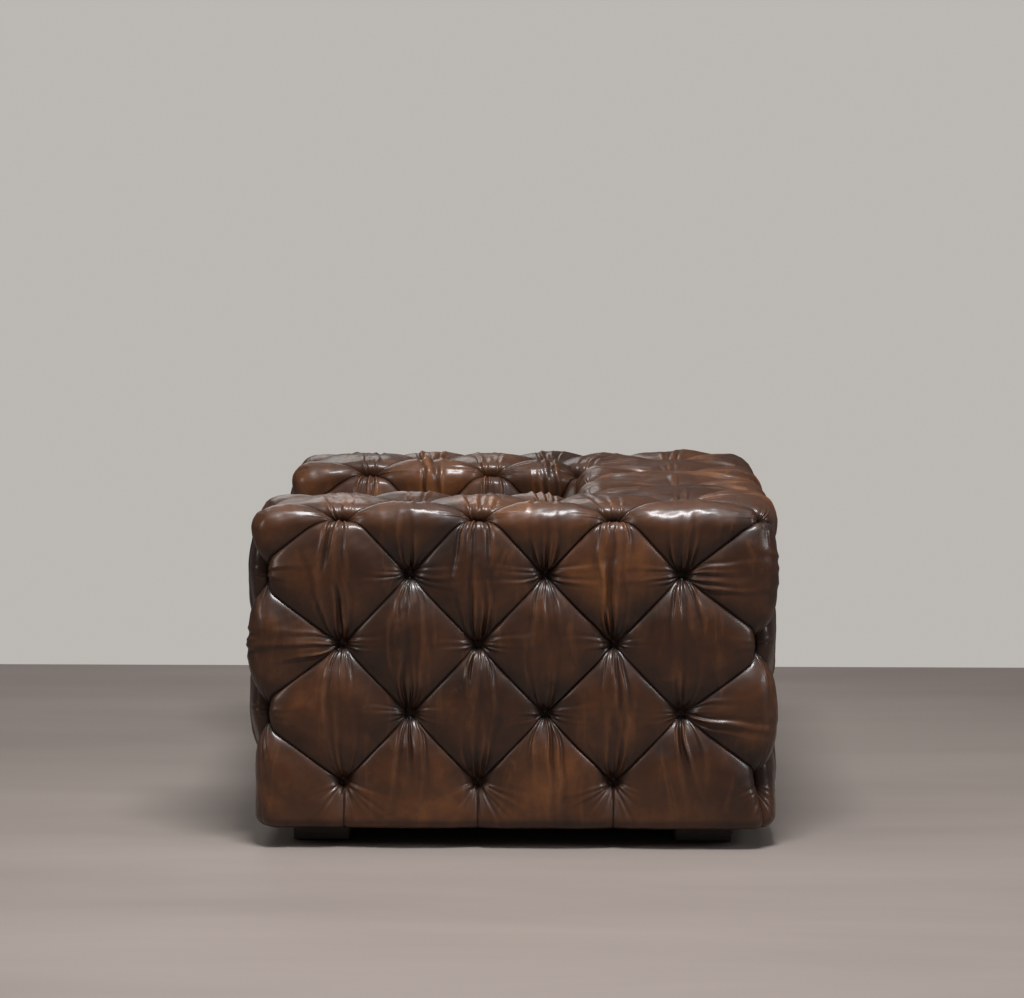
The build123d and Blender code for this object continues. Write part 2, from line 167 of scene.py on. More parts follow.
# ---- unfolded charts -----------------------------------------------------------------
class Chart:
    """Two faces that meet along an edge, unfolded.

    t runs along the edge, and s across it: below 0 on the first face, above 0 on the second.
    """

    def __init__(self, origin, along, first, second):
        self.origin = np.array(origin, float)
        self.along, self.first, self.second = (np.array(v, float) for v in (along, first, second))

    def flat(self, point):
        offset = np.asarray(point, float) - self.origin
        on_first, on_second = offset @ self.first, offset @ self.second
        return np.array([offset @ self.along, on_second if on_second > on_first else -on_first])

    def solid(self, t, s):
        return (
            self.origin
            + t[:, None] * self.along
            + np.maximum(s, 0)[:, None] * self.second
            + np.maximum(-s, 0)[:, None] * self.first
        )


def side_charts(side):
    x = side * X
    return {
        "side_top": Chart((side * HX, 0, TOP), Y, -Z, -x),
        "inner_top": Chart((side * WX, 0, TOP), Y, -Z, x),
        "side_front": Chart((side * HX, -HY, 0), Z, Y, -x),
        "inner_front": Chart((side * WX, -HY, 0), Z, Y, x),
        "side_rear": Chart((side * HX, HY, 0), Z, -Y, -x),
        "inner_back": Chart((side * WX, WY, 0), Z, -Y, -x),
    }


FRONT_TOP = Chart((0, -HY, TOP), X, -Z, Y)
REAR_TOP = Chart((0, HY, TOP), X, -Z, -Y)
WALL_TOP = Chart((0, WY, TOP), X, -Z, Y)


# ---- buttoned leather ----------------------------------------------------------------
def segment_distance(points, a, b):
    a, b = np.asarray(a, float), np.asarray(b, float)
    span = b - a
    along = np.clip(((points - a) @ span) / (span @ span), 0, 1)
    return np.linalg.norm(points - a - along[:, None] * span, axis=1)


WAVES = [
    (direction / np.linalg.norm(direction) * 2 * math.pi / length, phase, size)
    for direction, phase, length, size in zip(
        rng.normal(size=(26, 3)),
        rng.uniform(0, 6.28, 26),
        np.r_[rng.uniform(0.06, 0.16, 10), rng.uniform(0.018, 0.04, 16)],
        np.r_[np.full(10, 0.00050), np.full(16, 0.00008)],
    )
]


def unevenness(points):
    """Slow, irregular rise and fall of hand-stuffed leather."""
    total = np.zeros(len(points))
    for vector, phase, size in WAVES:
        total += size * np.sin(points @ vector + phase)
    return total


def ridge(u):
    """A sharp-crested fold with a crease along one side of it."""
    return np.exp(-(np.abs(u) ** 1.4)) - 0.7 * np.exp(-((u - 1.6) ** 2))


def folds(flat, tuft, centre, drag, reach):
    """Gathers that leave a tuft into one cell: a few long folds and some short ones.

    They are longer and stronger where the cell lies across the chart's edge from the tuft.
    """
    axis = centre - tuft
    axis = axis / np.linalg.norm(axis)
    across = np.array([-axis[1], axis[0]])
    offset = flat - tuft
    ahead, aside = offset @ axis, offset @ across
    clear = np.maximum(ahead, 0)
    grain = abs(axis[1]) ** 2
    total = np.zeros(len(flat))
    long_folds = int(rng.integers(2, 4) + round(grain))
    short_folds = int(rng.integers(3, 6))
    for count, size, length, spread, width in (
        (long_folds, 0.0022 + 0.0046 * grain, 0.080 + 0.060 * grain, 0.024 + 0.014 * grain, 0.034),
        (short_folds, 0.0016, 0.036, 0.018, 0.028),
    ):
        for lane in (2 * np.arange(count) + 1 + rng.uniform(-0.7, 0.7, count)) / count - 1:
            line = lane * spread * (1 - np.exp(-clear / 0.03))
            line = line + rng.uniform(-0.8, 0.8) * np.maximum(ahead - 0.02, 0) ** 2
            line += 0.0010 * np.sin(ahead / 0.014 + rng.uniform(0, 6.28))
            u = (aside - line) / (0.0017 + width * clear) * rng.choice([-1, 1])
            far = length * rng.uniform(0.55, 1.1) * reach
            fade = smooth(ahead, 0.004, 0.018) * np.exp(-((clear / far) ** 2))
            total += rng.uniform(0.3, 1.0) * size * drag * fade * ridge(u)
    return total


def fan(flat, tuft, start, stop):
    """Short rays from a tuft, spread evenly between two angles."""
    offset = flat - tuft
    distance = np.hypot(*offset.T)
    angle = np.arctan2(offset[:, 1], offset[:, 0])
    total = np.zeros(len(flat))
    count = int(rng.integers(6, 9))
    for k in range(count):
        ray = start + (stop - start) * (k + 0.5 + rng.uniform(-0.3, 0.3)) / count
        turn = (angle - ray + math.pi) % (2 * math.pi) - math.pi
        u = turn * distance / (0.0016 + 0.034 * distance) * rng.choice([-1, 1])
        length = rng.uniform(0.035, 0.085)
        rise = smooth(distance, 0.006, 0.015) * np.exp(-((distance / length) ** 2))
        rise = rise * np.cos(np.clip(turn, -1.5, 1.5))
        total += rng.uniform(0.4, 1) * RAY * rise * ridge(u)
    return total


def relief(points, pleats, tufts, centre):
    """Height of the leather over its base in one cell.

    Also gives how close each place is to the nearest pleat and to the nearest tuft.
    """
    open_broad = np.ones(len(points))
    open_narrow = np.ones(len(points))
    nearest = np.full(len(points), FAR)
    for a, b in pleats:
        distance = segment_distance(points, a, b)
        over = (centre - (np.asarray(a) + np.asarray(b)) / 2) @ OVERLAP > 0
        open_broad *= 1 - np.exp(-((distance / BROAD_REACH) ** 1.12))
        open_narrow *= 1 - np.exp(-distance / (LIP_OVER if over else LIP_UNDER))
        nearest = np.minimum(nearest, distance)
    at_hem = 0.45 + 0.55 * smooth(points[:, 2], LOW - 0.01, LOW + 0.06)
    middle = NARROW + BROAD
    depth = (BROAD * (1 - open_broad) + NARROW * (1 - open_narrow)) * at_hem
    closest = np.full(len(points), FAR)
    for spot, sink in tufts:
        away = np.linalg.norm(points - spot, axis=1)
        on_edge = sink == EDGE_TUFT
        wide, soft, power = FUNNEL_FACE
        if on_edge:
            wide, soft, power = FUNNEL_TOP if spot[2] > TOP - 0.01 else FUNNEL_UPRIGHT
        flat = BUTTON / 2 if on_edge else BUTTON
        shoulder = np.exp(-np.maximum(nearest - flat, 0) / soft)
        funnel = np.exp(-((np.maximum(away - flat, 0) / wide) ** power))
        depth += (sink - middle - DISH) * funnel * shoulder
        depth += DISH * np.exp(-((away / DISH_REACH) ** 1.7))
        closest = np.minimum(closest, away)
    wave = unevenness(points) * (1 - np.exp(-nearest / 0.015))
    return PUFF - depth + wave, nearest, closest


SHADES = ("pleat", "tuft", "gather", "crest")  # what the leather's colour follows at each point: painted shade near the pleats and round the tufts, the folds' height, and how far the pleats lie
WELD = 0.00025  # patches meet within this distance


class Leather:
    """Collects patches of one buttoned piece and makes its mesh."""

    def __init__(self, skin):
        self.skin = skin
        self.points, self.faces, self.near = [], [], []
        self.count = 0

    def patch(self, chart, corners, u, v, pleats, tufts, centre, wrinkle):
        """Fills a four-cornered patch of the chart; corners are flat places in order round it."""
        p0, p1, p2, p3 = corners
        gu, gv = (g.ravel()[:, None] for g in np.meshgrid(u, v, indexing="ij"))
        flat = (1 - gu) * (1 - gv) * p0 + gu * (1 - gv) * p1 + gu * gv * p2 + (1 - gu) * gv * p3
        sharp = chart.solid(flat[:, 0], flat[:, 1])
        base, normal = self.skin(sharp)
        height, pleat, tuft = relief(sharp, pleats, tufts, centre)
        gathers = wrinkle(flat) * (1 - np.exp(-((pleat / 0.0045) ** 2)))
        height += gathers
        placed = base + normal * height[:, None]
        nu, nv = len(u), len(v)
        index = np.arange(nu * nv).reshape(nu, nv)
        around = [index[:-1, :-1], index[1:, :-1], index[1:, 1:], index[:-1, 1:]]
        quads = np.stack(around, axis=-1).reshape(-1, 4)
        a, b, c = (placed[quads[:, k]] for k in (0, 1, 2))
        facing = (np.cross(b - a, c - b) * normal[quads[:, 0]]).sum()
        if facing < 0:
            quads = quads[:, ::-1]
        self.points.append(placed)
        self.faces.append(quads + self.count)
        # in the order of SHADES: painted shade near the pleats, painted shade round the tufts, the
        # folds' height, and how far the pleats lie
        shade = [
            np.exp(-pleat / 0.0022),
            np.exp(-((tuft / 0.024) ** 1.5)),
            gathers / 0.002,
            smooth(pleat, 0, 0.045),
        ]
        self.near.append(np.stack(np.broadcast_arrays(*shade), axis=1))
        self.count += len(placed)

    def diamond(self, chart, left, up, right, down, drag=1.0, reach=1.0):
        """A whole cell between four tufts."""
        self.cell(chart, [left, up, right, down], [left, up, right, down], drag=drag, reach=reach)

    def cell(self, chart, ring, tufts, pleats=None, drag=1.0, reach=1.0):
        """A four-cornered cell; drag strengthens its folds and reach lengthens them."""
        flat = [chart.flat(p) for p in ring]
        middle = sum(flat) / 4
        centre = chart.solid(*middle[:, None])[0]
        if pleats is None:
            pleats = [(ring[k], ring[(k + 1) % 4]) for k in range(4)]
        homes = [chart.flat(p) for p in tufts]

        def wrinkle(where):
            return sum(folds(where, home, middle, drag, reach) for home in homes)

        sinks = [(p, sink_of(p)) for p in tufts]
        self.patch(chart, flat, FULL, FULL, pleats, sinks, centre, wrinkle)

    def skirt(self, chart, left, up, right, foot, upright):
        """A cell open at the bottom: three tufts, and pleats straight down from the outer two."""
        fl, fu, fr = (chart.flat(p) for p in (left, up, right))
        down = 0 if upright else 1
        level = foot if upright else foot - TOP

        def drop(p):
            q = np.array(p, float)
            q[down] = level
            return q

        bl, bm, br = drop(fl), drop(fu), drop(fr)
        pleats = [(left, up), (up, right)]
        pleats += [(p, tuple(chart.solid(*q[:, None])[0])) for p, q in ((left, bl), (right, br))]
        middle = (fl + fr) / 2
        centre = chart.solid(*((middle + (bl + br) / 2) / 2)[:, None])[0]
        toward = math.atan2(*(fr - fl)[::-1])
        below = math.atan2(*(bl - fl)[::-1])
        swing = (below - toward + math.pi) % (2 * math.pi) - math.pi
        start, stop = swing * 0.1, swing * 0.95
        back_toward = toward + math.pi
        state = rng.bit_generator.state

        def wrinkle(where):
            rng.bit_generator.state = state  # the cell's two halves share their folds
            total = folds(where, fu, middle, 1.3, 1.2)
            total = total + fan(where, fl, toward + start, toward + stop)
            return total + fan(where, fr, back_toward - start, back_toward - stop)

        tufts = [(p, sink_of(p)) for p in (left, up, right)]
        self.patch(chart, [fl, fu, bm, bl], FULL, FULL, pleats, tufts, centre, wrinkle)
        self.patch(chart, [fu, fr, br, bm], FULL, FULL, pleats, tufts, centre, wrinkle)

    def corner(self, charts, tufts, tip):
        """The three-sided cell over a corner; tufts[k] lies on the edge that charts[k] folds."""
        tip = np.array(tip, float)
        mids = [(np.array(tufts[k]) + np.array(tufts[(k + 1) % 3])) / 2 for k in range(3)]
        pleats = [(tufts[k], tufts[(k + 1) % 3]) for k in range(3)]
        sinks = [(p, sink_of(p)) for p in tufts]
        for k in range(3):
            chart = charts[k]
            flat = [chart.flat(p) for p in (tufts[k], mids[k], tip, mids[k - 1])]
            rims = [(flat[1], flat[2]), (flat[3], flat[2])]

            def wrinkle(where, home=flat[0], end=flat[2], rims=rims):
                clear = np.ones(len(where))
                for a, b in rims:
                    clear *= smooth(segment_distance(where, a, b), 0, 0.03)
                return folds(where, home, end, 1.1, 0.8) * clear

            self.patch(chart, flat, HALF, HALF, pleats, sinks, tip, wrinkle)

    def make(self, name, body, fill=0.8):
        points = np.concatenate(self.points)
        faces = np.concatenate(self.faces)
        near = np.concatenate(self.near)
        mesh = bpy.data.meshes.new(name)
        mesh.from_pydata(points.tolist(), [], faces.tolist())
        for k, label in enumerate(SHADES):
            values = near[:, k].astype(np.float32)
            mesh.attributes.new(label, "FLOAT", "POINT").data.foreach_set("value", values)
        bm = bmesh.new()
        bm.from_mesh(mesh)
        bmesh.ops.remove_doubles(bm, verts=bm.verts, dist=WELD)
        for face in bm.faces:
            face.smooth = True
        bm.to_mesh(mesh)
        bm.free()
        return place(name, mesh, body)


def place(name, mesh, body):
    piece = bpy.data.objects.new(name, mesh)
    bpy.context.scene.collection.objects.link(piece)
    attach(piece, body)
    return piece


def warped(steps):
    even = np.arange(steps + 1) / steps
    return even - WARP * np.sin(2 * math.pi * even) / (2 * math.pi)


FULL = warped(STEPS)
HALF = 2 * FULL[: STEPS // 2 + 1]


def sink_of(spot):
    """A tuft that lies on an edge is drawn deeper than one on a face."""
    x, y, z = abs(spot[0]), spot[1], spot[2]
    side, well = abs(x - HX) < ON, abs(x - WX) < ON
    front, rear, wall = abs(y + HY) < ON, abs(y - HY) < ON, abs(y - WY) < ON
    faces = [
        abs(z - TOP) < ON,
        side or rear,
        (front or rear) and side,
        well or wall or front,
        well and (wall or front),
    ]
    return EDGE_TUFT if sum(faces) > 1 else FACE_TUFT


side_y = [-HY] + [COLUMN * (n - 2.5) for n in range(6)] + [HY]
inner_y = side_y[:5] + [WY]
rear_step = (HX - SINK) / 4
rear_x = [rear_step * n for n in range(4)] + [HX]
mid_x = (HX + WX) / 2
wall_x = (WX + SINK) / 2

left, right, back = Leather(shell_skin), Leather(shell_skin), Leather(shell_skin)


def tuft_names(side):
    """Where one side's tufts are on the sharp-cornered outline.

    s is the outer side, i the inner wall, f the front, t the top, r the rear, and w the wall
    behind the sitter.
    """

    def s(n, row):
        return (side * HX, side_y[n], ROW_Z[row])

    def i(n, row):
        return (side * WX, inner_y[n], ROW_Z[row])

    def f(row):
        return (side * mid_x, -HY, ROW_Z[row])

    def t(n):
        return (side * (mid_x if n < 6 else 3 * COLUMN), side_y[n], TOP)

    def r(k, row):
        return (side * rear_x[k] if k >= 0 else -side * rear_x[-k], HY, ROW_Z[row])

    def w(k, row):
        return (side * k * wall_x, WY, ROW_Z[row])

    return s, i, f, t, r, w


for side, arm in ((1, left), (-1, right)):
    s, i, f, t, r, w = tuft_names(side)
    c = side_charts(side)
    outer = c["side_top"]
    for n in (2, 4, 6):
        piece = arm if n < 5 else back
        piece.diamond(outer, s(n - 1, 0), t(n), s(n + 1, 0), s(n, 1), 1.5, 0.7)
        piece.diamond(outer, s(n - 1, 2), s(n, 1), s(n + 1, 2), s(n, 3))
        piece.skirt(outer, s(n - 1, 4), s(n, 3), s(n + 1, 4), UNDER, False)
    for n in (1, 3, 5):
        piece = arm if n < 5 else back
        piece.diamond(outer, s(n - 1, 1), s(n, 0), s(n + 1, 1), s(n, 2), 1.35, 1.15)
        piece.diamond(outer, s(n - 1, 3), s(n, 2), s(n + 1, 3), s(n, 4))
        piece.diamond(outer, s(n, 0), t(n - 1) if n > 1 else f(0), i(n, 0), t(n + 1), 0.55)
    # front: the outer and inner upright edges, the two corners above them and the face between
    arm.diamond(c["side_front"], s(1, 2), s(0, 1), f(2), s(0, 3), 0.85)
    arm.skirt(c["side_front"], s(1, 4), s(0, 3), f(4), UNDER, True)
    outer_charts = [outer, FRONT_TOP, c["side_front"]]
    arm.corner(outer_charts, [s(1, 0), f(0), s(0, 1)], (side * HX, -HY, TOP))
    arm.diamond(FRONT_TOP, s(0, 1), f(0), i(0, 1), f(2))
    arm.diamond(FRONT_TOP, s(0, 3), f(2), i(0, 3), f(4))
    inner_charts = [c["inner_top"], FRONT_TOP, c["inner_front"]]
    arm.corner(inner_charts, [i(1, 0), f(0), i(0, 1)], (side * WX, -HY, TOP))
    arm.diamond(c["inner_front"], i(1, 2), i(0, 1), f(2), i(0, 3), 1.1)
    seam = (side * WX, -HY, UNDER)
    end = (side * mid_x, -HY, UNDER)
    arm.cell(
        FRONT_TOP,
        [f(4), i(0, 3), seam, end],
        [f(4), i(0, 3)],
        [(f(4), i(0, 3)), (i(0, 3), seam), (f(4), end)],
    )
    foot_0, foot_1 = ((side * WX, y, WALL_FOOT) for y in (-HY, side_y[1]))
    arm.cell(
        c["inner_top"],
        [i(0, 3), i(1, 2), foot_1, foot_0],
        [i(0, 3), i(1, 2)],
        [(i(0, 3), i(1, 2)), (i(1, 2), foot_1), (i(0, 3), foot_0)],
    )
    # inner wall
    for n in (2, 4):
        arm.diamond(c["inner_top"], i(n - 1, 0), t(n), i(n + 1, 0), i(n, 1), 1.3)
        arm.skirt(c["inner_top"], i(n - 1, 2), i(n, 1), i(n + 1, 2), WALL_FOOT, False)
    for n in (1, 3):
        arm.diamond(c["inner_top"], i(n - 1, 1), i(n, 0), i(n + 1, 1), i(n, 2), 1.15)
    # back: rear corner, rear, top and the wall behind the sitter
    for row in (1, 3):
        back.diamond(c["side_rear"], s(6, row), s(7, row - 1), r(3, row), s(7, row + 1), 0.85)
    back.diamond(REAR_TOP, s(7, 0), t(6), r(2, 0), r(3, 1), 1.7)
    top_1 = (side * COLUMN, side_y[6], TOP)
    back.diamond(REAR_TOP, r(2, 0), top_1, r(0, 0), r(1, 1), 1.7)
    back.diamond(REAR_TOP, t(6), r(2, 0), top_1, i(5, 0), 2.2)
    for row in (1, 3):
        back.diamond(REAR_TOP, r(3, row), r(2, row - 1), r(1, row), r(2, row + 1))
    back.diamond(REAR_TOP, r(2, 2), r(1, 1), r(0, 2), r(1, 3))
    back.diamond(REAR_TOP, s(7, 2), r(3, 1), r(2, 2), r(3, 3))
    back.skirt(REAR_TOP, r(2, 4), r(1, 3), r(0, 4), UNDER, False)
    back.skirt(REAR_TOP, s(7, 4), r(3, 3), r(2, 4), UNDER, False)
    back.diamond(WALL_TOP, i(5, 0), top_1, w(0, 0), w(1, 1), 1.3)
    back.diamond(c["inner_back"], i(4, 1), i(5, 0), w(1, 1), i(5, 2))
    back.skirt(WALL_TOP, i(5, 2), w(1, 1), w(0, 2), WALL_FOOT, False)

*_, r, w = tuft_names(1)
back.diamond(REAR_TOP, (COLUMN, side_y[6], TOP), r(0, 0), (-COLUMN, side_y[6], TOP), w(0, 0), 2.2)
for row in (1, 3):
    back.diamond(REAR_TOP, r(1, row), r(0, row - 1), r(-1, row), r(0, row + 1))
back.diamond(WALL_TOP, w(1, 1), w(0, 0), w(-1, 1), w(0, 2))

arm_left = left.make("arm_left_leather", "chair")
arm_right = right.make("arm_right_leather", "chair")
back_piece = back.make("back_leather", "chair")
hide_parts("arm_left_cover", "arm_left_foam")
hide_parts("arm_right_cover", "arm_right_foam")
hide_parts("back_cover", "back_foam")
leather_pieces = [arm_left, arm_right, back_piece]

# ---- apron ---------------------------------------------------------------------------
APRON_EDGE = 0.014
APRON_INSET = 0.007  # how far its face stands behind the arms' faces
APRON_END = WX + 0.038  # it runs on into the arms' rounded inner edges
APRON_OVER = 0.02  # its core is this much longer, so that its ends stay square
APRON_DEEP = 0.3  # from the front of its core to the rear
apron_core = [
    box_core(
        (-APRON_END - APRON_OVER, -HY, BELOW),
        (APRON_END + APRON_OVER, -HY + APRON_DEEP, DECK),
        APRON_EDGE,
    )
]


def apron_skin(points):
    base, normal = round_cores(above_hem(points), apron_core, APRON_EDGE)
    turned, under, drop = hem(points)
    base[:, 1] += APRON_INSET + lean(points) + turned + under
    base[:, 2] -= drop
    return base, normal


APRON_TOP = Chart((0, -HY, DECK), X, -Z, Y)
apron = Leather(apron_skin)
apron_x = [-APRON_END, -WX * 2 / 3, 0, WX * 2 / 3, APRON_END]


def apron_place(x, z):
    return x, -HY, z


for k in range(4):
    x0, x1 = apron_x[k : k + 2]
    tufts = [apron_place(x, ROW_Z[4]) for x in apron_x[k : k + 2] if abs(x) < WX]
    peak_x = (x0 + x1) / 2 if k in (1, 2) else (x0 if k == 0 else x1)
    peak = apron_place(peak_x, DECK)
    pleats = [(tuft, peak) for tuft in tufts]
    pleats += [(tuft, apron_place(tuft[0], UNDER)) for tuft in tufts]
    left_end, right_end = apron_place(x0, ROW_Z[4]), apron_place(x1, ROW_Z[4])
    middle = apron_place(peak_x, ROW_Z[4])
    hem_ends = [apron_place(x1, UNDER), apron_place(x0, UNDER)]
    apron.cell(APRON_TOP, [left_end, right_end, *hem_ends], tufts, pleats)
    for a, b in ((left_end, middle), (middle, right_end)):
        if a[0] == b[0]:
            continue
        apron.cell(APRON_TOP, [a, b, peak, peak], tufts, pleats)
        end = a if b is middle else b
        above = apron_place(end[0], DECK)
        apron.cell(APRON_TOP, [end, peak, above, above], tufts, pleats)

APRON_TURN = 0.05  # its leather runs this far back under the cushion
top_edge = [apron_place(-APRON_END, DECK), apron_place(APRON_END, DECK)]
rear_edge = [(x, -HY + APRON_TURN, DECK) for x in (APRON_END, -APRON_END)]
apron.cell(APRON_TOP, top_edge + rear_edge, [], [])
apron_piece = apron.make("apron_leather", "chair")
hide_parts("apron_cover", "apron_foam")
leather_pieces.append(apron_piece)

# ---- loose seat cushion --------------------------------------------------------------
CUSHION_EDGE = 0.026
CROWN = 0.016  # how much higher its middle stands than its rim
RIM_DROP = 0.007  # how far that rim lies below the plain box
DRAWN_IN = 0.006  # how far its sides are drawn in along the welts
cx = cushion_hi.x
cy0, cy1 = cushion_lo.y, cushion_hi.y
cz0, cz1 = cushion_lo.z, cushion_hi.z
cushion_core = [box_core((-cx, cy0, cz0), (cx, cy1, cz1), CUSHION_EDGE)]


def cushion_skin(points):
    """The cushion's rounded box, crowned on top and full at its sides, drawn in along its welts."""
    base, normal = round_cores(points, cushion_core, CUSHION_EDGE)
    u = np.clip(1 - (points[:, 0] / cx) ** 2, 0, 1)
    v = np.clip(1 - ((points[:, 1] - (cy0 + cy1) / 2) / ((cy1 - cy0) / 2)) ** 2, 0, 1)
    crown = CROWN * (u * v) ** 0.4 - RIM_DROP
    base[:, 2] += crown * smooth(points[:, 2], cz1 - 0.03, cz1)
    belly = np.clip(1 - ((points[:, 2] - (cz0 + cz1) / 2) / ((cz1 - cz0) / 2)) ** 2, 0, 1)
    upright = np.abs(normal[:, 2]) < 0.5
    base -= normal * (1, 1, 0) * (DRAWN_IN * (1 - belly))[:, None] * upright[:, None]
    return base, normal


seat = Leather(cushion_skin)
CUSHION_TOP = Chart((0, cy0, cz1), X, -Z, Y)
grid_x = [-cx] + [k * WX / 2 for k in (-1, 0, 1)] + [cx]
grid_y = [cy0 + (WY - cy0) * n / 5 for n in range(5)] + [cy1]
seat_tufts = {(k, n) for k, n in ((2, 2), (2, 4), (1, 1), (3, 1), (1, 3), (3, 3))}


def knot(k, n):
    return (grid_x[k], grid_y[n], cz1)


def on_rim(a, b):
    return (a[0] == b[0] and a[0] in (0, 4)) or (a[1] == b[1] and a[1] in (0, 5))


def seat_ring(ring):
    """One cell of the cushion's top; its sides are pleats, apart from those on the rim."""
    sides = [(ring[k], ring[(k + 1) % 4]) for k in range(4) if ring[k] != ring[(k + 1) % 4]]
    pleats = [(knot(*a), knot(*b)) for a, b in sides if not on_rim(a, b)]
    homes = [knot(*p) for p in dict.fromkeys(ring) if p in seat_tufts]
    seat.cell(CUSHION_TOP, [knot(*p) for p in ring], homes, pleats)


for k in range(5):
    for n in range(6):
        if (k + n) % 2 == 0:
            continue
        ring = [(k - 1, n), (k, n + 1), (k + 1, n), (k, n - 1)]
        seat_ring([(min(max(a, 0), 4), min(max(b, 0), 5)) for a, b in ring])


def boxing_gathers(where):
    """Slack in the boxing: slow swells along it, and short puckers where the welts are sewn."""
    along, down = where[:, 0], -where[:, 1]
    edge = np.minimum(down, cz1 - cz0 - down)
    swell = 0.0016 * np.sin(along * 31 + 2.5 * np.sin(down * 21))
    swell = swell + 0.0009 * np.sin(along * 83 + down * 30)
    puckers = np.sin(along * 260 + 3 * np.sin(along * 37)) * np.exp(-((edge / 0.022) ** 2))
    return swell * smooth(edge, 0.0, 0.04) + 0.0007 * puckers


# the boxing round the four sides, and the underside
for chart, ends in (
    (Chart((0, cy0, cz1), X, -Z, Y), ((-cx, cy0), (cx, cy0))),
    (Chart((0, cy1, cz1), X, -Z, -Y), ((-cx, cy1), (cx, cy1))),
    (Chart((cx, 0, cz1), Y, -Z, -X), ((cx, cy0), (cx, cy1))),
    (Chart((-cx, 0, cz1), Y, -Z, X), ((-cx, cy0), (-cx, cy1))),
):
    (xa, ya), (xb, yb) = ends
    ring = [(xa, ya, cz1), (xb, yb, cz1), (xb, yb, cz0), (xa, ya, cz0)]
    flat = [chart.flat(p) for p in ring]
    wide = np.arange(161) / 160
    seat.patch(chart, flat, wide, wide[::4], [], [], np.zeros(3), boxing_gathers)
under = Chart((0, cy0, cz0), X, Z, Y)
under_ring = [under.flat((x, y, cz0)) for x, y in ((-cx, cy0), (cx, cy0), (cx, cy1), (-cx, cy1))]
even = np.arange(81) / 80
seat.patch(under, under_ring, even, even, [], [], np.zeros(3), lambda where: 0 * where[:, 0])
cushion_piece = seat.make("cushion_leather", "seat_cushion", fill=0.7)
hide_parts("cushion_cover", "cushion_wadding", "cushion_foam_core")
leather_pieces.append(cushion_piece)

WELT = 0.0042  # the piping's radius


def welt(name, z):
    """Piping round the cushion where its top or bottom panel meets the boxing."""
    inset = 0.0065
    radius = CUSHION_EDGE - 0.004
    path = []
    for sx, sy, start in ((1, -1, -90), (1, 1, 0), (-1, 1, 90), (-1, -1, 180)):
        middle_x = sx * (cx - inset - radius)
        middle_y = (cy1 - inset - radius) if sy > 0 else (cy0 + inset + radius)
        for step in range(9):
            angle = math.radians(start + step * 90 / 8)
            across, along = radius * math.cos(angle), radius * math.sin(angle)
            path.append((middle_x + across, middle_y + along, z))
    curve = bpy.data.curves.new(name, "CURVE")
    curve.dimensions = "3D"
    curve.bevel_depth = WELT
    curve.bevel_resolution = 5
    curve.resolution_u = 6
    spline = curve.splines.new("POLY")
    spline.points.add(len(path) - 1)
    for point, co in zip(spline.points, path):
        point.co = (*co, 1)
    spline.use_cyclic_u = True
    tube = bpy.data.objects.new(name + "_path", curve)
    mesh = bpy.data.meshes.new_from_object(tube)
    bpy.data.objects.remove(tube)
    for polygon in mesh.polygons:
        polygon.use_smooth = True
    return place(name, mesh, "seat_cushion")


leather_pieces.append(welt("cushion_welt_top", cz1 - 0.009))
leather_pieces.append(welt("cushion_welt_bottom", cz0 + 0.006))

# ---- deck lining under the cushion ---------------------------------------------------
LINING = 0.006  # its thickness
LINING_FRONT, LINING_REAR = 0.03, 0.01  # it starts behind the pad's front, and ends under the back
LINING_SIDE = 0.004  # it runs this far under the arms
SAG, QUILT = 0.007, 0.0012
deck_lo, deck_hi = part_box("deck_pad")
bm = bmesh.new()
bmesh.ops.create_grid(bm, x_segments=90, y_segments=84, size=0.5)
for vert in bm.verts:
    share = vert.co.y + 0.5
    x = vert.co.x * 2 * (WX + LINING_SIDE)
    y = deck_lo.y + LINING_FRONT + share * (WY + LINING_REAR - deck_lo.y - LINING_FRONT)
    sag = SAG * (1 - (x / WX) ** 2) * math.sin(math.pi * share)
    quilt = QUILT * abs(math.sin((x + y) * 42) * math.sin((x - y) * 42))
    vert.co = (x, y, deck_hi.z - 0.0035 - max(sag, 0) + quilt)
for face in bm.faces:
    face.smooth = True
result = bmesh.ops.extrude_face_region(bm, geom=bm.faces[:])
for vert in (g for g in result["geom"] if isinstance(g, bmesh.types.BMVert)):
    vert.co.z -= LINING
bmesh.ops.recalc_face_normals(bm, faces=bm.faces)
deck_mesh = bpy.data.meshes.new("deck_lining")
bm.to_mesh(deck_mesh)
bm.free()
deck_piece = place("deck_lining", deck_mesh, "chair")
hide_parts("deck_pad")


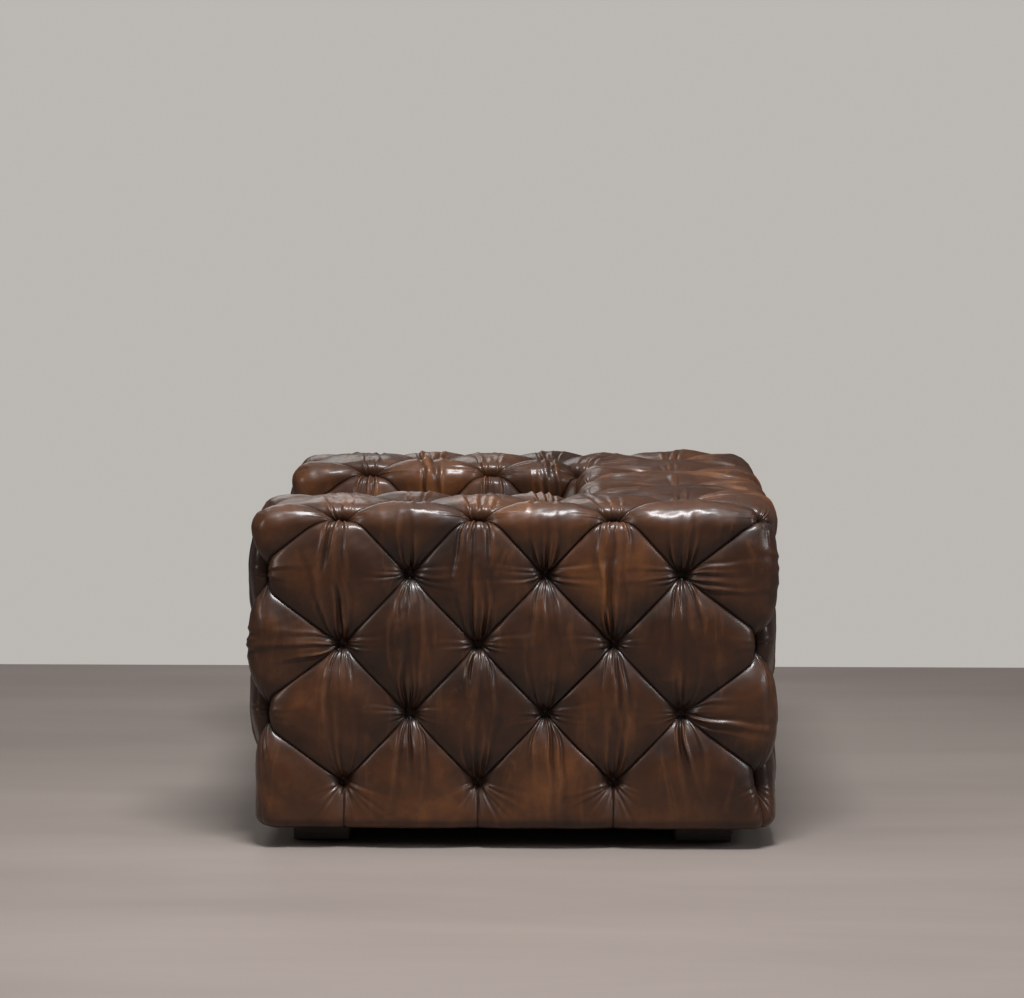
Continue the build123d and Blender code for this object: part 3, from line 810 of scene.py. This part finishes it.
# ---- materials -----------------------------------------------------------------------
class Tree:
    """A short way to write one material's nodes: a socket is linked, any other value is set."""

    def __init__(self, name, **surface):
        self.material = bpy.data.materials.new(name)
        self.material.use_nodes = True
        self.nodes = self.material.node_tree.nodes
        self.links = self.material.node_tree.links
        self.shader = next(n for n in self.nodes if n.type == "BSDF_PRINCIPLED")
        self.fill(self.shader, surface)
        self.where = self.add("ShaderNodeTexCoord").outputs["Object"]

    def fill(self, node, values):
        for key, value in values.items():
            socket = node.inputs[key if isinstance(key, int) else key.replace("_", " ")]
            if isinstance(value, bpy.types.NodeSocket):
                self.links.new(value, socket)
            else:
                socket.default_value = value

    def add(self, kind, values=None, **settings):
        node = self.nodes.new(kind)
        for key, value in settings.items():
            setattr(node, key, value)
        self.fill(node, values or {})
        return node

    def noise(self, scale, detail=3.0, rough=0.5, twist=0.0, where=None):
        values = {"Vector": where or self.where, "Scale": scale, "Detail": detail}
        values.update({"Roughness": rough, "Distortion": twist})
        return self.add("ShaderNodeTexNoise", values).outputs["Fac"]

    def stretch(self, x, y, z):
        values = {"Vector": self.where, "Scale": (x, y, z)}
        return self.add("ShaderNodeMapping", values).outputs["Vector"]

    def cells(self, scale):
        values = {"Vector": self.where, "Scale": scale}
        return self.add("ShaderNodeTexVoronoi", values).outputs["Distance"]

    def ramp(self, value, *stops):
        node = self.add("ShaderNodeValToRGB", {"Fac": value})
        line = node.color_ramp
        while len(line.elements) < len(stops):
            line.elements.new(0.5)
        for element, (spot, color) in zip(line.elements, stops):
            element.position = spot
            element.color = (*color, 1)
        return node.outputs["Color"]

    def math(self, how, a, b, clamp=False):
        return self.add("ShaderNodeMath", {0: a, 1: b}, operation=how, use_clamp=clamp).outputs[0]

    def remap(self, value, low, high, to_low, to_high):
        values = {"Value": value, "From_Min": low, "From_Max": high}
        values.update({"To_Min": to_low, "To_Max": to_high})
        return self.add("ShaderNodeMapRange", values).outputs[0]

    def mix(self, share, a, b):
        node = self.add("ShaderNodeMix", data_type="RGBA")
        self.fill(node, {0: share, 6: a, 7: b})
        return node.outputs[2]

    def bump(self, height, strength, distance, normal=None):
        values = {"Height": height, "Strength": strength, "Distance": distance}
        node = self.add("ShaderNodeBump", values)
        if normal is not None:
            self.links.new(normal, node.inputs["Normal"])
        return node.outputs["Normal"]

    def attribute(self, name):
        return self.add("ShaderNodeAttribute", attribute_name=name).outputs["Fac"]

    def surface(self, **values):
        self.fill(self.shader, values)
        return self.material


def leather_material(name, shade=1.0):
    """Waxed brown hide: mottled, rubbed on the crests, finely grained, with painted shade near
    black in the pleats and round the tufts and darker in the fold creases and towards the pleats.
    """
    tree = Tree(name, Specular_IOR_Level=0.24, Coat_Weight=0.26, Coat_Roughness=0.20)
    wide = tree.noise(4.2, 3.0, 0.55, 0.5)
    patch = tree.noise(19.0, 5.0, 0.60, 0.8)
    streak = tree.noise(24.0, 4.0, 0.6, 1.0, tree.stretch(1.0, 1.0, 0.30))
    fleck = tree.noise(120.0, 4.0, 0.7)
    gather, crest = tree.attribute("gather"), tree.attribute("crest")
    blend = tree.math("ADD", tree.math("MULTIPLY", wide, 0.74), tree.math("MULTIPLY", patch, 0.26))
    # the folds' height: ridges lighter as rubbed wear, fold creases darker as painted shade
    blend = tree.math("ADD", blend, tree.math("MULTIPLY", gather, 0.050))
    # how far the pleats lie: darker towards the pleats as painted shade, lighter on the crowns as
    # rubbed wear
    blend = tree.math("ADD", blend, tree.math("MULTIPLY", tree.math("SUBTRACT", crest, 0.6), 0.06))
    hide = tree.ramp(
        blend,
        (0.34, tuple(shade * v for v in (0.0150, 0.0062, 0.0034))),
        (0.46, tuple(shade * v for v in (0.0315, 0.0113, 0.0046))),
        (0.58, tuple(shade * v for v in (0.0530, 0.0186, 0.0068))),
        (0.72, tuple(shade * v for v in (0.1080, 0.0390, 0.0122))),
    )
    streak = tree.math("ADD", streak, tree.math("MULTIPLY", gather, 0.05))
    rubbed = tree.remap(streak, 0.55, 0.82, 0.0, 0.42)
    hide = tree.mix(rubbed, hide, (0.140 * shade, 0.053 * shade, 0.018 * shade, 1))
    specks = tree.remap(fleck, 0.35, 0.7, 0.0, 0.22)
    hide = tree.mix(specks, hide, (0.020 * shade, 0.009 * shade, 0.006 * shade, 1))
    # painted shade: near black in the pleats and round the tufts
    pleat = tree.math("MULTIPLY", tree.attribute("pleat"), 0.75)
    tuft = tree.math("MULTIPLY", tree.attribute("tuft"), 0.75)
    shadow = tree.math("MAXIMUM", pleat, tuft, True)
    hide = tree.mix(shadow, hide, (0.0075, 0.0040, 0.0030, 1))
    rough = tree.remap(patch, 0.3, 0.75, 0.44, 0.33)
    rough = tree.math("ADD", rough, tree.math("MULTIPLY", fleck, 0.10))
    grain = tree.cells(620.0)
    creases = tree.noise(210.0, 5.0, 0.65, 1.6)
    ripples = tree.noise(46.0, 4.0, 0.6, 1.4)
    normal = tree.bump(ripples, 0.18, 0.0014)
    normal = tree.bump(creases, 0.20, 0.0005, normal)
    normal = tree.bump(grain, 0.14, 0.0003, normal)
    return tree.surface(Base_Color=hide, Roughness=rough, Normal=normal)


hide = leather_material("waxed_brown_leather")
dark_hide = leather_material("button_leather_dark", 0.75)
for piece in leather_pieces:
    piece.data.materials.clear()
    piece.data.materials.append(hide)


def scaled(colour, share):
    return (*(min(1, v * share) for v in colour), 1)


def wood_material(name, dark, light, rough, ring=1.0):
    tree = Tree(name)
    along = tree.stretch(1.0, 0.12, 1.0)
    rings = tree.noise(34.0 * ring, 5.0, 0.6, 2.2, along)
    pores = tree.noise(420.0, 3.0, 0.6, 0.0, along)
    between = tuple((a + b) / 2 for a, b in zip(dark, light))
    colour = tree.ramp(rings, (0.32, dark), (0.50, between), (0.68, light))
    colour = tree.mix(tree.remap(pores, 0.35, 0.6, 0.35, 0.0), colour, scaled(dark, 0.4))
    normal = tree.bump(pores, 0.25, 0.0004)
    normal = tree.bump(rings, 0.15, 0.0005, normal)
    rough = tree.remap(pores, 0.3, 0.7, rough + 0.08, rough - 0.06)
    return tree.surface(Base_Color=colour, Roughness=rough, Normal=normal)


def cloth_material(name, colour, weave=900.0, rough=0.9, fuzz=0.0):
    tree = Tree(name)
    tree.shader.inputs["Sheen Weight"].default_value = fuzz
    values = {"Vector": tree.where, "Scale": weave / 6}
    warp, weft = (tree.add("ShaderNodeTexWave", values, bands_direction=way) for way in "XY")
    threads = tree.math("MAXIMUM", warp.outputs["Fac"], weft.outputs["Fac"])
    blotch = tree.noise(30.0, 4.0, 0.6)
    shade = tree.mix(tree.remap(blotch, 0.3, 0.7, 0.0, 0.35), (*colour, 1), scaled(colour, 0.55))
    shade = tree.mix(tree.remap(threads, 0.0, 1.0, 0.35, 0.0), shade, scaled(colour, 0.4))
    return tree.surface(Base_Color=shade, Roughness=rough, Normal=tree.bump(threads, 0.4, 0.0005))


def foam_material(name, colour):
    tree = Tree(name)
    pores = tree.cells(380.0)
    shade = tree.mix(tree.remap(pores, 0.0, 0.5, 0.5, 0.0), (*colour, 1), scaled(colour, 0.5))
    return tree.surface(Base_Color=shade, Roughness=0.95, Normal=tree.bump(pores, 0.6, 0.001))


def metal_material(name, colour):
    tree = Tree(name, Metallic=1.0)
    drawn = tree.noise(260.0, 4.0, 0.6, 0.0, tree.stretch(1.0, 0.08, 1.0))
    shade = tree.mix(tree.remap(drawn, 0.3, 0.7, 0.0, 0.4), (*colour, 1), scaled(colour, 0.5))
    rough = tree.remap(drawn, 0.3, 0.7, 0.28, 0.5)
    return tree.surface(Base_Color=shade, Roughness=rough, Normal=tree.bump(drawn, 0.1, 0.0002))


def plastic_material(name, colour):
    tree = Tree(name)
    mould = tree.noise(900.0, 3.0, 0.6)
    scuffs = tree.noise(60.0, 5.0, 0.7, 1.5)
    shade = tree.mix(tree.remap(scuffs, 0.5, 0.8, 0.0, 0.4), (*colour, 1), scaled(colour, 2.2))
    rough = tree.remap(scuffs, 0.3, 0.7, 0.45, 0.62)
    return tree.surface(Base_Color=shade, Roughness=rough, Normal=tree.bump(mould, 0.2, 0.0002))


slot_materials = {
    "leather": hide,
    "button_leather": dark_hide,
    "foam": foam_material("cut_foam", (0.70, 0.62, 0.40)),
    "wadding": foam_material("polyester_wadding", (0.82, 0.81, 0.78)),
    "twine": cloth_material("waxed_twine", (0.55, 0.48, 0.36), 2400.0),
    "black_cloth": cloth_material("black_lining", (0.030, 0.029, 0.030), 1500.0, 0.92, 0.15),
    "timber": wood_material("raw_timber", (0.42, 0.27, 0.15), (0.68, 0.49, 0.30), 0.62),
    "foot_wood": wood_material(
        "dark_stained_foot", (0.007, 0.004, 0.003), (0.024, 0.011, 0.007), 0.55, 1.5
    ),
    "steel": metal_material("drawn_steel", (0.52, 0.52, 0.54)),
    "glide_plastic": plastic_material("glide_plastic", (0.045, 0.043, 0.042)),
}
for entry in frame["record"]["subparts"]:
    node = frame["nodes"][entry["node"]]
    node.data.materials.clear()
    node.data.materials.append(slot_materials[entry["material_slot"]])
deck_piece.data.materials.append(slot_materials["black_cloth"])

# ---- floor, light and camera ---------------------------------------------------------
FLOOR_END = -1.713  # the floor stops here, against a plain pale background
floor_mesh = bpy.data.meshes.new("floor")
floor_corners = [(FLOOR_END, -9, 0), (12, -9, 0), (12, 9, 0), (FLOOR_END, 9, 0)]
floor_mesh.from_pydata(floor_corners, [], [(0, 1, 2, 3)])
floor = bpy.data.objects.new("floor", floor_mesh)
bpy.context.scene.collection.objects.link(floor)
boards = Tree("pale_floor", Roughness=0.7)
tint = boards.noise(2.2, 4.0, 0.6, 0.3, boards.stretch(1.0, 0.2, 1.0))
tint = boards.ramp(tint, (0.3, (0.165, 0.136, 0.120)), (0.7, (0.205, 0.172, 0.152)))
floor_mesh.materials.append(boards.surface(Base_Color=tint))

# the background is pale where it is seen, and lights the chair only softly
world = bpy.data.worlds.new("studio")
bpy.context.scene.world = world
world.use_nodes = True
nodes, links = world.node_tree.nodes, world.node_tree.links
fill_light = nodes["Background"]
fill_light.inputs["Color"].default_value = (0.82, 0.81, 0.80, 1)
fill_light.inputs["Strength"].default_value = 0.12
backdrop = nodes.new("ShaderNodeBackground")
backdrop.inputs["Color"].default_value = (0.50, 0.475, 0.445, 1)
ray, chosen = nodes.new("ShaderNodeLightPath"), nodes.new("ShaderNodeMixShader")
links.new(ray.outputs["Is Camera Ray"], chosen.inputs[0])
links.new(fill_light.outputs[0], chosen.inputs[1])
links.new(backdrop.outputs[0], chosen.inputs[2])
links.new(chosen.outputs[0], next(n for n in nodes if n.type == "OUTPUT_WORLD").inputs[0])


def softbox(name, spot, aim, width, height, power, colour):
    light = bpy.data.lights.new(name, "AREA")
    light.shape = "RECTANGLE"
    light.size, light.size_y = width, height
    light.energy = power
    light.color = colour
    lamp = bpy.data.objects.new(name, light)
    lamp.location = spot
    lamp.rotation_euler = (Vector(aim) - Vector(spot)).to_track_quat("-Z", "Y").to_euler()
    bpy.context.scene.collection.objects.link(lamp)


softbox("overhead", (1.6, 0.2, 3.0), (0.45, 0.0, 0.3), 1.1, 0.6, 150, (0.97, 0.98, 1.0))
softbox("ceiling", (0.0, 0.0, 5.2), (0.0, 0.0, 0.0), 7.0, 7.0, 130, (1.0, 0.98, 0.96))
softbox("side_left", (2.1, -3.4, 1.9), (0.4, -0.2, 0.4), 0.8, 1.3, 28, (1.0, 0.96, 0.92))
softbox("side_right", (1.9, 3.6, 2.0), (0.4, 0.2, 0.4), 0.8, 1.3, 50, (0.95, 0.97, 1.0))
softbox("far_side", (-3.6, -1.2, 2.7), (-0.5, 0.0, 0.3), 2.2, 1.2, 22, (1.0, 0.98, 0.95))

eye = Vector((6.7765, 0.1367, 1.3653))
tilt, pan = 0.1074, -0.0218
forward = Vector((-math.cos(tilt) * math.cos(pan), math.cos(tilt) * math.sin(pan), -math.sin(tilt)))
camera_data = bpy.data.cameras.new("camera")
camera_data.lens = 112.7
camera_data.sensor_width = 36
camera_data.clip_end = 50
camera = bpy.data.objects.new("camera", camera_data)
camera.location = eye
camera.rotation_euler = forward.to_track_quat("-Z", "Y").to_euler()
bpy.context.scene.collection.objects.link(camera)
bpy.context.scene.camera = camera
bpy.context.scene.view_settings.view_transform = "Standard"
